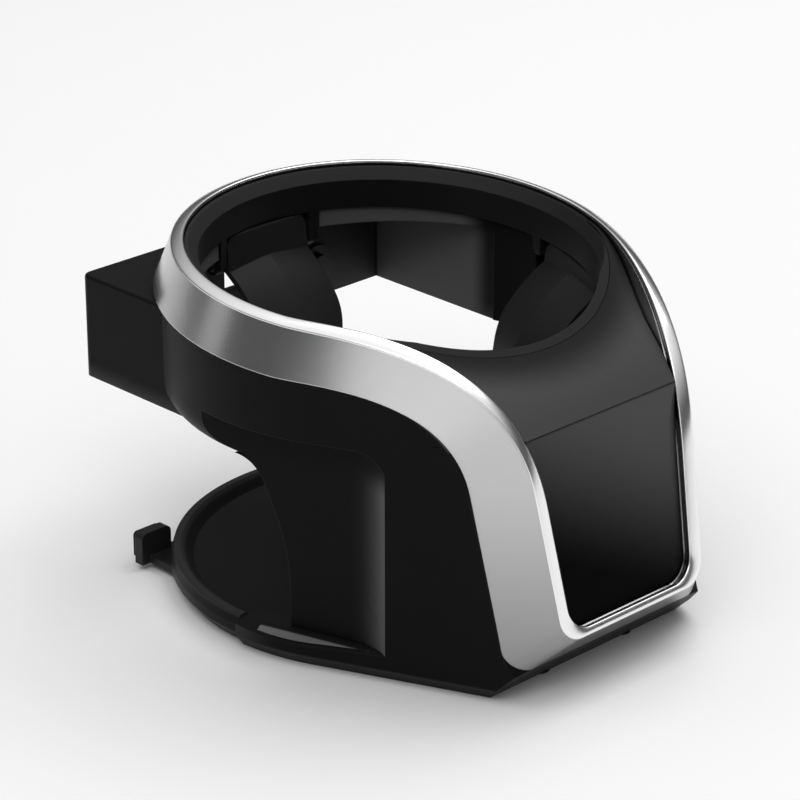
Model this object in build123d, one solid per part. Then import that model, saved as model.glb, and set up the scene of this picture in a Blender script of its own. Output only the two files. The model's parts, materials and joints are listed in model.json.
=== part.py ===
from build123d import *
import os
from collections import namedtuple
from math import acos, atan2, cos, hypot, pi, radians, sin, sqrt, tan

# Car cup holder that hangs on an air vent: a tilted ring with three sprung flaps, a front column with a
# gloss panel in a satin trim frame, a dish for the cup's foot and a stay that leans on the dashboard.
# Millimetres, +Z up. The front faces -Y, the cup axis is Z and the base stands on z = 0.

# Clearances: beside a piece, under a piece, round a hinge pin, round a screw and round a sliding piece
fit_gap = 0.1
seat_gap = 0.05
pin_gap = 0.05
screw_gap = 0.05
slide_gap = 0.2

# Cup ring and its liner
bore_r = 41.0
liner_wall = 2.0
liner_depth = 9.2
liner_rim_t = 3.0
liner_bevel = 2.85
liner_step = 0.7
liner_flange_t = 1.6
liner_flange_reach = 2.2
ring_z = 73.6
ring_tilt = 4.0
turn_angle = 106.0

# Trim frame section: inner edge, ridge and outer edge, in the ring, in the legs and in the bottom bar
trim_inner_r = bore_r + liner_rim_t
trim_wall = 1.8
trim_height = 4.2
trim_seat_depth = 3.2
facet_width = 2.7
facet_drop = 0.8
ridge_inset = 0.3
band_reach = 6.0
band_height = 10.3
leg_facet = 3.0
leg_proud = 1.9
leg_reach = 10.9
leg_depth = 7.6
leg_ridge_wall = 1.2
lip_width = 1.25
lip_rise = 0.1
groove_width = 0.55
groove_depth = 0.35
bar_facet = 1.6
bar_reach = 6.7
bar_depth = 5.4
bar_ridge_wall = 1.0
frame_corner = 5.0

# Body shell
body_inset = 0.7
body_r = trim_inner_r + band_reach - body_inset
side_angle = 24.2
wall = 2.0
cup_gap = 1.2
cup_space_r = bore_r + cup_gap
seat_z = 3.0

# Rear box, with a window in its rear wall
box_half_w = 42.4
box_overhang = 1.7
box_rear_y = body_r + box_overhang
box_drop = 9.0
box_height = 23.0
box_top_z = ring_z - box_drop
box_bottom_z = box_top_z - box_height
box_wall = 1.6
box_corner = 2.0
box_edge = 0.8
box_hollow_y = 12.3
window_half_w = 4.5
window_height = 9.0
window_drop = 5.1
window_high_z = box_top_z - window_drop
window_low_z = window_high_z - window_height

# Band below the ring, with a lower edge that rolls inwards
band_step = 0.4
band_bottom_z = box_bottom_z + band_step
band_roll = 6.5
band_roll_depth = 3.6

# Front panel: it leans back, with its foot further forward
panel_reach = 20.45
panel_foot_y = -trim_inner_r - panel_reach
panel_foot_z = 14.85
panel_lean = 11.5
panel_height = 39.85
panel_foot_half = 17.5
panel_top_half = 20.6
panel_t = 2.0

# Shoulder between the bore and the panel: points of its side view, from the ring to the panel
shoulder_start = (-14.0, ring_z - 14.0 * tan(radians(ring_tilt)) - liner_step)
shoulder_crest = (-28.0, ring_z - 3.8)
shoulder_lip = (-bore_r, ring_z - 9.6)
shoulder_slope = (-bore_r - 9.5, ring_z - 14.6)
panel_edge = 0.4

# Posts with a sunk side panel, and the opening behind them
post_plane_angle = 17.0
post_wall = 2.8
post_plane_r = cup_space_r + post_wall
post_front = 22.9
post_high_z = band_bottom_z + 7.5
post_corner = 7.0
post_cove_length = 9.0
post_cove_depth = 2.2
ledge_height = 3.5
ledge_z = seat_z + ledge_height
ledge_flat = 1.0
ledge_slope = 25.0
ledge_rear_y = -3.0
strip_start = 0.9
strip_rear = 6.0
strip_inset = 0.4
strip_rise = 0.5
strip_corner = 0.8
opening_foot = (-13.0, 12.0)
opening_knee = (-8.3, band_bottom_z - 7.0)
opening_top_y = -1.0
column_half = 31.0
column_roof = 5.0

# Flaps: a curved tongue on two knuckles behind a hood, with a pin through a pair of lugs
flap_angles = {"rear": 90.0, "left": 198.0, "right": -18.0}
hinge_inset = 1.6
hinge_drop = 13.2
hinge_r = bore_r + hinge_inset
hinge_z = ring_z - hinge_drop
knuckle_r = 1.8
pin_r = 0.8
flap_half_w = 11.2
flap_length = 26.6
flap_straight = 9.4
flap_curve_r = 36.5
flap_curve_out = 17.0
flap_curve_drop = 30.6
flap_ridge = 1.0
flap_edge_t = 1.3
flap_gap = 0.8
hood_t = 0.8
hood_lean = 7.0
hood_root = 1.5
hood_top_gap = 0.4
hood_corner = 2.4
lug_t = 2.0
pocket_gap = 0.4
pocket_depth = 9.0
fold_room = 1.2
fold_drop = 12.0

# Flap springs
spring_wire = 0.5
spring_r = 1.3
spring_turns = 4
spring_slot_gap = 0.6
spring_leg_drop = 6.5

# Tray, base plate and bottom cover
tray_inset = 0.9
tray_r = body_r - tray_inset
tray_rim_z = 7.0
tray_rim_t = 1.6
tray_rim_lean = 0.6
tray_rim_round = 0.5
tray_rim_start_y = ledge_rear_y + slide_gap
tray_floor_z = 4.8
tray_floor_t = 1.6
tray_cove = 2.6
base_bevel = 38.0
base_front_y = -53.6
tray_ring_t = 1.0
cover_t = 1.2

# Stay that slides out of the base and leans on the dashboard, with a rubber pad on each ear
stay_t = 1.6
stay_arm_w = 8.0
stay_arm_out = 38.0
stay_bar_w = 10.0
stay_travel = 20.0
ear_shift = 2.2
ear_gap = 0.6
ear_t = 2.4
ear_height = 7.2
ear_corner = 1.5
pad_t = 1.2
pad_margin = 0.6

# Vent clips on the rear wall
clip_x = 22.0
clip_drop = 14.6
clip_z = box_top_z - clip_drop
clip_disc_r = 6.0
clip_disc_t = 2.0
clip_stub_r = 3.0
clip_length = 12.0
clip_half_w = 5.0
clip_jaw_t = 2.2
clip_slot = 4.6
clip_flare = 2.0
grip_t = 0.9

# Screws
screw_r = 1.25
screw_head_r = 2.4
screw_head_t = 1.4
screw_sink = 0.2
body_screw_spots = [(12.0, -52.0), (28.5, -38.5)]
cover_screw_spots = [(22.0, -25.0), (15.0, 33.0)]
body_screw_length = 10.0
cover_screw_grip = 1.0
washer_r = 4.4
washer_t = 0.8
boss_r = 3.4


# Frames and helpers

ring_plane = Plane(
    origin=(0, 0, ring_z),
    x_dir=(1, 0, 0),
    z_dir=(0, -sin(radians(ring_tilt)), cos(radians(ring_tilt))),
)
panel_plane = Plane(
    origin=(0, panel_foot_y, panel_foot_z),
    x_dir=(1, 0, 0),
    z_dir=(0, -cos(radians(panel_lean)), sin(radians(panel_lean))),
)
sleeve_r = bore_r + liner_wall
far = 4 * body_r


def ring_point(radius, height, angle):
    """Point in the tilted ring's frame, at an angle from the rear towards +X."""
    turn = radians(angle)
    return ring_plane.from_local_coords(Vector(radius * sin(turn), radius * cos(turn), height))


def ring_forward(angle):
    """Direction of travel round the ring, from the rear to the front."""
    ahead = ring_point(1, 0, angle + 90) - ring_point(0, 0, 0)
    return ahead.normalized()


def panel_half(up):
    """Half the panel's width at a height along its face."""
    return panel_foot_half + (panel_top_half - panel_foot_half) * up / panel_height


def panel_point(x, up, depth):
    """Point on the panel's face, or behind it by a depth."""
    return panel_plane.from_local_coords(Vector(x, up, -depth))


def side_point(up, depth):
    """The same on the centre plane, as a point of the side view."""
    spot = panel_point(0, up, depth)
    return (spot.Y, spot.Z)


def across(face, half=far):
    """A side-view face (Y, Z) extruded across the part."""
    return extrude(Plane.YZ * face, half, both=True)


def polygon(*points):
    """A closed face with straight sides."""
    return make_face(Polyline(*points, close=True))


def around(profile, plane=Plane.XY):
    """A closed (radius, height) outline turned about a plane's Z axis."""
    return plane * revolve(Plane.XZ * polygon(*profile), Axis.Z)


def block(x, y, z):
    """A box from its low and high limits along each axis."""
    size = (x[1] - x[0], y[1] - y[0], z[1] - z[0])
    middle = ((x[0] + x[1]) / 2, (y[0] + y[1]) / 2, (z[0] + z[1]) / 2)
    return Pos(*middle) * Box(*size)


def rod(radius, start, end):
    """A cylinder between two points."""
    line = Vector(*end) - Vector(*start)
    return Plane(origin=start, z_dir=line) * Cylinder(
        radius, line.length, align=(Align.CENTER, Align.CENTER, Align.MIN)
    )


def both_sides(shape):
    """A shape and its mirror image across the centre plane."""
    return shape + mirror(shape, Plane.YZ)


def four_spots(spots):
    """Screw places on the left and right."""
    return [(side * x, y) for x, y in spots for side in (-1, 1)]


# Trim frame

Corner = namedtuple(
    "Corner", "radius height side depth drop drop_depth ring_pull leg_pull leg_up"
)
INNER_PULL = (13.0, 33.0, 27.0)
RIDGE_PULL = (12.0, 28.0, 30.0)
OUTER_PULL = (9.0, 21.0, 31.0)
CORNER_PULL = 0.55


def facet_corner(width, sink):
    """Corner on the facet at a distance from the inner edge, sunk below the facet."""
    share = width / facet_width
    pulls = [inner + (ridge - inner) * share for inner, ridge in zip(INNER_PULL, RIDGE_PULL)]
    proud = leg_proud * share - sink
    return Corner(
        trim_inner_r + width,
        -facet_drop * share - sink,
        leg_facet * share,
        -proud,
        bar_facet * share,
        -proud,
        *pulls,
    )


def rail(corner):
    """One edge of the trim on the +X side: ring arc, turn, leg, rounded corner and bottom bar."""
    turn = ring_point(corner.radius, corner.height, turn_angle)
    leg_up = corner.leg_up
    leg_top = panel_point(panel_half(leg_up) + corner.side, leg_up, corner.depth)
    foot_up = frame_corner - corner.drop
    leg_foot = panel_point(panel_half(foot_up) + corner.side, foot_up, corner.depth)
    bar_end_x = panel_half(-corner.drop) + corner.side - frame_corner
    bar_end = panel_point(bar_end_x, -corner.drop, corner.drop_depth)
    bar_middle = panel_point(0, -corner.drop, corner.drop_depth)
    down = (leg_foot - leg_top).normalized()
    outward = Vector(1, 0, 0)
    pull = CORNER_PULL * frame_corner
    return [
        ThreePointArc(
            ring_point(corner.radius, corner.height, 0),
            ring_point(corner.radius, corner.height, turn_angle / 2),
            turn,
        ),
        Bezier(
            turn,
            turn + ring_forward(turn_angle) * corner.ring_pull,
            leg_top - down * corner.leg_pull,
            leg_top,
        ),
        Line(leg_top, leg_foot),
        Bezier(leg_foot, leg_foot + down * pull, bar_end + outward * pull, bar_end),
        Line(bar_end, bar_middle),
    ]


def frame_loop(corners):
    """A closed loop with the given section corners, ruled between their rails."""
    rails = [rail(corner) for corner in corners]
    faces = []
    for first, second in zip(rails, rails[1:] + rails[:1]):
        for edge, next_edge in zip(first, second):
            faces.append(Face.make_surface_from_curves(edge, next_edge))
    starts = [edges[0] @ 0 for edges in rails]
    ends = [edges[-1] @ 1 for edges in rails]
    for points in (starts, ends):
        faces.append(Face(Wire.make_polygon(points, close=True)))
    half = Solid(Shell(faces))
    return half + mirror(half, Plane.YZ)


def trim_section(gap):
    """Back corners of the trim's section, sunk by a gap."""
    outer_back = Corner(
        trim_inner_r + band_reach - trim_wall - gap,
        -band_height - gap,
        leg_reach - trim_wall - gap,
        leg_depth + gap,
        bar_reach - trim_wall - gap,
        bar_depth + gap,
        *OUTER_PULL,
    )
    ridge_back = Corner(
        trim_inner_r + facet_width - ridge_inset,
        -trim_height - gap,
        leg_facet + leg_ridge_wall,
        trim_seat_depth + gap,
        bar_facet + bar_ridge_wall,
        trim_seat_depth + gap,
        *RIDGE_PULL,
    )
    inner_back = Corner(
        trim_inner_r,
        -trim_height - gap,
        0,
        trim_seat_depth + gap,
        0,
        trim_seat_depth + gap,
        *INNER_PULL,
    )
    return outer_back, ridge_back, inner_back


def trim_frame():
    facet = [
        facet_corner(0, 0),
        facet_corner(lip_width, -lip_rise),
        facet_corner(lip_width + groove_width / 2, groove_depth),
        facet_corner(lip_width + groove_width, 0),
        facet_corner(facet_width, 0),
    ]
    outer = Corner(
        trim_inner_r + band_reach,
        -band_height,
        leg_reach,
        leg_depth,
        bar_reach,
        bar_depth,
        *OUTER_PULL,
    )
    outer_back, ridge_back, inner_back = trim_section(0)
    return frame_loop([*facet, outer, outer_back, ridge_back, inner_back])


def trim_space(gap, beside):
    """Everything in front of the trim's back faces: what the body and the panel leave free."""
    outer_back, ridge_back, inner_back = trim_section(gap)
    lift = 3.0
    reach = 6 * trim_wall
    inner_back = inner_back._replace(radius=trim_inner_r - beside, side=-beside, drop=-beside)
    inner_far = inner_back._replace(
        height=trim_height * lift,
        depth=-trim_seat_depth * lift,
        drop_depth=-trim_seat_depth * lift,
    )
    outer_far = outer_back._replace(
        radius=outer_back.radius + reach,
        side=outer_back.side + reach,
        drop=outer_back.drop + reach,
    )
    ridge_far = outer_far._replace(
        height=inner_far.height,
        depth=inner_far.depth,
        drop_depth=inner_far.drop_depth,
        ring_pull=RIDGE_PULL[0],
        leg_pull=RIDGE_PULL[1],
        leg_up=RIDGE_PULL[2],
    )
    return frame_loop([inner_far, ridge_far, outer_far, outer_back, ridge_back, inner_back])


# Outlines of the body

def shoulder_line():
    """Side-view curve of the shoulder, from the ring to the panel's top edge."""
    return Spline(
        shoulder_start, shoulder_crest, shoulder_lip, shoulder_slope, side_point(panel_height, 0)
    )


def top_line(y):
    """Height of the body's top under the trim and the liner's flange."""
    lean = radians(ring_tilt)
    return ring_z - (trim_height + seat_gap) / cos(lean) + y * tan(lean)


def outline(radius):
    """Plan outline: a round rear with two flat sides that close in towards the front."""
    lean = radians(side_angle)
    front_y = panel_foot_y - bar_reach
    tangent = (radius * cos(lean), -radius * sin(lean))
    front_x = (radius + front_y * sin(lean)) / cos(lean)
    edges = [
        ThreePointArc(tangent, (0, radius), (-tangent[0], tangent[1])),
        Line((-tangent[0], tangent[1]), (-front_x, front_y)),
        Line((-front_x, front_y), (front_x, front_y)),
        Line((front_x, front_y), tangent),
    ]
    return make_face(edges)


def toe_point():
    """Lower front edge of the body, behind the trim's bottom bar, as a side-view point."""
    return side_point(-bar_reach, bar_depth)


def base_slope(z):
    """Front end of the base at a height: the underside slopes forward and up to the toe."""
    toe_y, toe_z = toe_point()
    return base_front_y + (toe_y - base_front_y) * z / toe_z


def side_view():
    """Side view of the body: flat ring seat, shoulder, panel seat and sloping foot."""
    rear_y = box_rear_y
    step = shoulder_start[0]
    points = [
        side_point(panel_height, 0),
        side_point(panel_height, panel_t + seat_gap),
        side_point(-bar_reach, panel_t + seat_gap),
        toe_point(),
        (base_slope(seat_z), seat_z),
        (rear_y, seat_z),
        (rear_y, top_line(rear_y)),
        (step, top_line(step)),
        shoulder_start,
    ]
    return make_face([shoulder_line(), Polyline(*points)])


# Main body

def panel_space():
    """Room for the front panel, open to the front."""
    height = panel_height + bar_reach + seat_gap
    slab = Pos(0, panel_height + seat_gap - height / 2) * Rectangle(far, height)
    return panel_plane * (Pos(0, 0, -panel_t - seat_gap) * extrude(slab, far))


def side_opening():
    """The open rear: below the band, behind the posts and above the ledges at their feet."""
    low_z = 0
    curve = Spline(
        opening_foot, opening_knee, (opening_top_y, band_bottom_z), tangents=((0, 1), (1, 0.1))
    )
    points = [
        (opening_top_y, band_bottom_z),
        (far, band_bottom_z),
        (far, low_z),
        (ledge_rear_y, low_z),
        (ledge_rear_y, ledge_z),
        (opening_foot[0], ledge_z),
        opening_foot,
    ]
    return across(make_face([curve, Polyline(*points)]))


def post_recess():
    """Space outside the post's sunk side panel and above its sloping ledge, on the +X side.

    The panel's front end curves out to the body's skin.
    """
    length = post_front + body_r
    panel = Rectangle(length, post_high_z - ledge_z, align=(Align.MIN, Align.MIN))
    panel = Pos(-post_front, ledge_z) * panel
    corner = panel.vertices().sort_by(Axis.X)[:2].sort_by(Axis.Y)[-1]
    panel = fillet(corner, post_corner)
    tool = Pos(post_plane_r, 0, 0) * extrude(Plane.YZ * panel, body_r)
    edge_x = post_plane_r + ledge_flat
    end_x = edge_x + ledge_height / tan(radians(ledge_slope))
    slope = polygon((edge_x, ledge_z), (end_x, ledge_z), (end_x, seat_z))
    tool += Pos(0, body_r, 0) * extrude(Plane.XZ * slope, length)
    root = (post_plane_r, -post_front)
    start = (post_plane_r, -post_front + post_cove_length)
    bend = (post_plane_r, -post_front + post_cove_length / 3)
    end = (post_plane_r + post_cove_depth, -post_front)
    cove = make_face([Bezier(start, bend, end), Polyline(end, root, start)])
    tool -= extrude(cove, ring_z)
    return Rot(0, 0, -post_plane_angle) * tool


def foot_strip():
    """Raised strip along the outer edge of the sloping ledge, on the +X side."""
    edge_x = post_plane_r + ledge_flat
    fall = tan(radians(ledge_slope))
    start_x = edge_x + strip_start
    end_x = edge_x + ledge_height / fall
    start_z = ledge_z - strip_start * fall
    profile = polygon(
        (start_x, start_z - strip_rise),
        (start_x, start_z + strip_rise),
        (end_x, seat_z + strip_rise),
        (end_x, seat_z - strip_rise),
    )
    bar = Pos(0, strip_rear, 0) * extrude(Plane.XZ * profile, strip_rear + post_front)
    corner = bar.edges().filter_by(Axis.Z).sort_by(Axis.Y)[-2:].sort_by(Axis.X)[:1]
    bar = fillet(corner, strip_corner)
    return (Rot(0, 0, -post_plane_angle) * bar) & extrude(outline(body_r - strip_inset), ring_z)


def at_flap(shape, name):
    """A shape drawn for the rear flap, turned to another flap's place."""
    return Rot(0, 0, flap_angles[name] - flap_angles["rear"]) * shape


def flap_pocket(name):
    """Room for a flap, its knuckles and lugs, cut into the body's inner wall."""
    half = flap_half_w + flap_gap + lug_t + pocket_gap
    top = hinge_z + knuckle_r + pocket_gap
    upper = block((-half, half), (0, far), (hinge_z - pocket_depth, top))
    upper &= Cylinder(body_r - wall, far)
    lower_half = flap_half_w + flap_gap
    low_z = hinge_z - flap_length - fold_drop
    lower = block((-lower_half, lower_half), (0, cup_space_r + fold_room), (low_z, hinge_z))
    neck = ring_plane * Cylinder(sleeve_r + fit_gap, 2 * ring_z)
    neck &= at_flap(block((-half, half), (0, far), (hinge_z, ring_z)), name)
    return at_flap(upper + lower, name) + neck


def column_pocket():
    """Hollow of the front column, open at the foot, with a wall behind the trim and the panel."""
    skin = panel_t + seat_gap + wall
    toe_y, toe_z = toe_point()
    roof = panel_height - column_roof
    depth = body_r
    rear_y, rear_z = side_point(roof, depth)
    view = [
        side_point(roof, skin),
        side_point(-bar_reach + wall, skin),
        (toe_y + wall, toe_z + wall),
        (base_slope(0) + wall, 0),
        (rear_y, 0),
        (rear_y, rear_z),
    ]
    hollow = across(polygon(*view), column_half)
    hollow &= extrude(outline(body_r - wall), ring_z)
    hollow -= Cylinder(cup_space_r + wall, far)
    return hollow - trim_space(seat_gap + wall, wall)


def rear_box():
    """The box behind the ring, before it is hollowed."""
    box = block((-box_half_w, box_half_w), (0, box_rear_y), (box_bottom_z, box_top_z))
    upright = box.edges().filter_by(Axis.Z).sort_by(Axis.Y)[-2:]
    box = fillet(upright, box_corner)
    rim = box.faces().sort_by(Axis.Z)[-1].edges()
    return fillet(rim.filter_by(lambda edge: edge.center().Y > 1), box_edge)


def liner_space():
    """Room for the liner's sleeve and flange."""
    sleeve = around(
        [
            (0, -liner_depth - seat_gap),
            (sleeve_r + fit_gap, -liner_depth - seat_gap),
            (sleeve_r + fit_gap, ring_z),
            (0, ring_z),
        ],
        ring_plane,
    )
    flange_r = trim_inner_r + liner_flange_reach + fit_gap
    flange_low = -trim_height - liner_flange_t - 2 * seat_gap
    flange = around(
        [(0, flange_low), (flange_r, flange_low), (flange_r, ring_z), (0, ring_z)], ring_plane
    )
    return sleeve + (flange & block((-far, far), (shoulder_start[0], far), (0, far)))


def band_roll_cut():
    """What is taken off the band's lower outer edge so that it rolls inwards."""
    top = band_bottom_z + band_roll
    inner_r = body_r - band_roll_depth
    curve = Bezier(
        (body_r, top), (body_r, band_bottom_z + band_roll / 4), (inner_r, band_bottom_z)
    )
    points = [(inner_r, band_bottom_z), (far, band_bottom_z), (far, top), (body_r, top)]
    ring = revolve(Plane.XZ * make_face([curve, Polyline(*points)]), Axis.Z)
    return ring & block((-far, far), (opening_foot[0] - wall, far), (0, far))


def rear_hollow():
    """Room behind the cup: inside the rear box, open below."""
    inner_w = box_half_w - box_wall
    y = (box_hollow_y, box_rear_y - box_wall)
    return block((-inner_w, inner_w), y, (0, box_top_z - box_wall))


def screw_bosses():
    """Posts inside the front column that take the base's screws."""
    return [rod(boss_r, (x, y, seat_z), (x, y, ring_z)) for x, y in four_spots(body_screw_spots)]


def main_body():
    shell = extrude(outline(body_r), 2 * ring_z) & across(side_view())
    shell -= band_roll_cut()
    shell += rear_box()
    shell -= panel_space()
    shell -= trim_space(seat_gap, fit_gap)
    shell -= liner_space()
    shell -= Cylinder(cup_space_r, 2 * ring_z)
    shell -= rear_hollow()
    shell -= side_opening()
    shell -= both_sides(post_recess())
    shell += both_sides(foot_strip())
    for name in flap_angles:
        shell -= flap_pocket(name)
    shell -= column_pocket() - screw_bosses()
    for x, y in four_spots(body_screw_spots):
        shell -= rod(screw_r + screw_gap, (x, y, 0), (x, y, seat_z + body_screw_length))
    wall_y = (box_rear_y - 2 * box_wall, box_rear_y + box_wall)
    shell -= block((-window_half_w, window_half_w), wall_y, (window_low_z, window_high_z))
    for x in (-clip_x, clip_x):
        shell -= rod(clip_stub_r + pin_gap, (x, wall_y[0], clip_z), (x, wall_y[1], clip_z))
    return shell


# Liner with the flap hinge lugs

def hinge_lugs():
    """The pair of lugs for the rear flap, on necks that hang from the sleeve."""
    inner = flap_half_w + flap_gap
    outer = inner + lug_t
    eye = rod(knuckle_r, (inner, hinge_r, hinge_z), (outer, hinge_r, hinge_z))
    eye += block((inner, outer), (hinge_r - 2 * knuckle_r, hinge_r), (hinge_z, hinge_z + knuckle_r))
    eye -= rod(pin_r, (0, hinge_r, hinge_z), (2 * outer, hinge_r, hinge_z))
    return both_sides(eye)


def lug_necks(name):
    """Strips of the sleeve that reach down to a pair of lugs."""
    inner = flap_half_w + flap_gap
    span = block((inner, inner + lug_t), (0, far), (hinge_z + wall / 2, ring_z - liner_depth / 2))
    tube = ring_plane * (Cylinder(sleeve_r, 2 * ring_z) - Cylinder(bore_r, 2 * ring_z))
    return at_flap(both_sides(span), name) & tube


def ring_liner():
    rim_r = trim_inner_r - fit_gap - seat_gap
    flange_top = -trim_height - seat_gap
    flange_low = flange_top - liner_flange_t
    flange_r = trim_inner_r + liner_flange_reach
    profile = [
        (bore_r, -liner_depth),
        (sleeve_r, -liner_depth),
        (sleeve_r, flange_low),
        (flange_r, flange_low),
        (flange_r, flange_top),
        (rim_r, flange_top),
        (rim_r, -liner_step),
        (rim_r - liner_step, -liner_step),
        (bore_r, -liner_bevel),
    ]
    liner = around(profile, ring_plane)
    front = block((-far, far), (-far, shoulder_start[0] + fit_gap), (0, far))
    front -= ring_plane * Cylinder(sleeve_r, far)
    liner -= front
    start_y = shoulder_start[0]
    end = side_point(panel_height, 0)
    above = Polyline(end, (-far, end[1]), (-far, far), (start_y, far), shoulder_start)
    liner -= across(make_face([shoulder_line(), above]))
    for name in flap_angles:
        lugs = at_flap(hinge_lugs(), name) - ring_plane * Cylinder(bore_r, 2 * ring_z)
        liner += lugs
        liner += lug_necks(name)
    return liner


# Front panel

def front_panel():
    half = panel_top_half + leg_facet
    slab = Pos(0, panel_height / 2) * Rectangle(2 * half, panel_height)
    panel = panel_plane * extrude(slab, -panel_t)
    panel = fillet(panel.edges().filter_by(Axis.X).sort_by(Axis.Z)[-1:], panel_edge)
    panel -= trim_space(seat_gap, fit_gap)
    return panel.solids().sort_by(SortBy.VOLUME)[-1]


# Flaps, pins and springs

def flap_centre():
    """Centre of the rear flap's curve, in the side view."""
    return (hinge_r + flap_curve_out, hinge_z - flap_curve_drop)


def flap_back_r():
    return flap_curve_r - flap_ridge - flap_edge_t


def spring_half_slot():
    """Half the width of the notch that the spring sits in."""
    return (spring_turns + 1) * spring_wire * 1.25 / 2 + spring_slot_gap


def flap_hood(name):
    """Upper skin of a flap: it hides the hinge from the cup and ends just below the liner's sleeve."""
    lean = radians(hood_lean)
    face = Plane(
        origin=(0, hinge_r, hinge_z), x_dir=(1, 0, 0), z_dir=(0, -cos(lean), sin(lean))
    )
    sheet = Rectangle(2 * flap_half_w, hood_root + hinge_drop, align=(Align.CENTER, Align.MIN))
    sheet = Pos(0, -hood_root, knuckle_r - pin_gap) * sheet
    hood = at_flap(face * extrude(sheet, hood_t), name)
    above = Cylinder(far, far, align=(Align.CENTER, Align.CENTER, Align.MIN))
    hood -= ring_plane * (Pos(0, 0, -liner_depth - hood_top_gap) * above)
    top = hood.faces().sort_by(Axis.Z)[-1]
    return fillet(top.edges().sort_by(SortBy.LENGTH)[:2], hood_corner)


def flap_tongue():
    """The rear flap's curved tongue, with a centre ridge, a rounded tip and two knuckles."""
    edge_r = flap_curve_r - flap_ridge
    half = flap_half_w
    section = polygon(
        (-half, flap_back_r()),
        (half, flap_back_r()),
        (half, edge_r),
        (0, flap_curve_r),
        (-half, edge_r),
    )
    centre_y, centre_z = flap_centre()
    blade = Pos(0, centre_y, centre_z) * revolve(section, Axis.X)
    shoulder_z = hinge_z - flap_straight
    tip_z = hinge_z - flap_length
    drop = shoulder_z - tip_z
    side = Spline(
        (half, shoulder_z),
        (0.88 * half, shoulder_z - 0.32 * drop),
        (0.59 * half, shoulder_z - 0.68 * drop),
        (0, tip_z),
        tangents=((0, -1), (-1, 0)),
    )
    top = [(half, shoulder_z), (half, hinge_z), (-half, hinge_z), (-half, shoulder_z)]
    shape = make_face([side, mirror(side, Plane.YZ), Polyline(*top)])
    blade &= Pos(0, hinge_r, 0) * extrude(Plane.XZ * shape, hinge_r)
    tongue = blade + rod(knuckle_r, (-half, hinge_r, hinge_z), (half, hinge_r, hinge_z))
    slot = spring_half_slot()
    tongue -= rod(knuckle_r + spring_slot_gap, (-slot, hinge_r, hinge_z), (slot, hinge_r, hinge_z))
    tongue -= rod(pin_r + pin_gap, (-2 * half, hinge_r, hinge_z), (2 * half, hinge_r, hinge_z))
    return tongue


def flap(name):
    return at_flap(flap_tongue(), name) + flap_hood(name)


def flap_pin():
    end = flap_half_w + flap_gap + lug_t
    return rod(pin_r, (-end, hinge_r, hinge_z), (end, hinge_r, hinge_z))


def tangent_spot(target, side):
    """Where a straight leg from the coil to a side-view point leaves the coil, as an angle."""
    out = (target[0] - hinge_r, target[1] - hinge_z)
    return atan2(out[1], out[0]) + side * acos(spring_r / hypot(*out))


def spring_leg(x, angle, target):
    """A straight leg of square wire from the coil to a side-view point."""
    start = Vector(x, hinge_r + spring_r * cos(angle), hinge_z + spring_r * sin(angle))
    line = Vector(x, *target) - start
    leg = Plane(origin=start, z_dir=line, x_dir=(1, 0, 0)) * Box(
        spring_wire, spring_wire, line.length, align=(Align.CENTER, Align.CENTER, Align.MIN)
    )
    return leg


def flap_spring():
    """Torsion spring on the rear flap's pin: one leg on the body's wall, one behind the flap."""
    clear = fit_gap + spring_wire / 2
    leg_z = hinge_z - spring_leg_drop
    centre_y, centre_z = flap_centre()
    rise = leg_z - centre_z
    flap_end = (centre_y - sqrt((flap_back_r() - 2 * clear) ** 2 - rise**2), leg_z)
    wall_end = (body_r - wall - 2 * clear, leg_z + knuckle_r)
    first = tangent_spot(wall_end, -1)
    last = tangent_spot(flap_end, 1)
    turn = (first - last) % (2 * pi) + 2 * pi * (spring_turns - 1)
    pitch = spring_wire * 1.25
    length = pitch * turn / (2 * pi)
    start_x = -length / 2
    axis = Plane(origin=(start_x, hinge_r, hinge_z), z_dir=(1, 0, 0), x_dir=(0, cos(first), sin(first)))
    coil = axis * Helix(pitch, length, spring_r, lefthand=True)
    start_plane = Plane(origin=coil @ 0, z_dir=coil % 0, x_dir=(1, 0, 0))
    wire = sweep(start_plane * Rectangle(spring_wire, spring_wire), coil, is_frenet=True)
    wire += spring_leg(start_x, first, wall_end)
    wire += spring_leg(-start_x, last, flap_end)
    return wire


# Tray, base plate, cover and stay

def floor_low_z():
    return tray_floor_z - tray_floor_t


def recess_r():
    """Radius of the hollow under the tray's floor."""
    return cup_space_r - slide_gap - tray_ring_t


def stay_z():
    """Lower and upper face of the stay, between the cover and the tray's floor."""
    return (floor_low_z() - slide_gap - stay_t, floor_low_z() - slide_gap)


def stay_arm_in():
    return stay_arm_out - stay_arm_w


def bar_limits():
    """Front and rear edge of the stay's bar: at the end of its travel it meets the recess's wall."""
    stop_y = sqrt(recess_r() ** 2 - (stay_arm_in() - slide_gap) ** 2)
    rear_y = stop_y - slide_gap - stay_travel
    return (rear_y - stay_bar_w, rear_y)


def screw_hole(x, y, top):
    """Hole for a screw from below, with room for its head."""
    head_top = screw_sink + screw_head_t + seat_gap
    hole = rod(screw_r + screw_gap, (x, y, 0), (x, y, top))
    return hole + rod(screw_head_r + fit_gap, (x, y, 0), (x, y, head_top))


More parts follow.
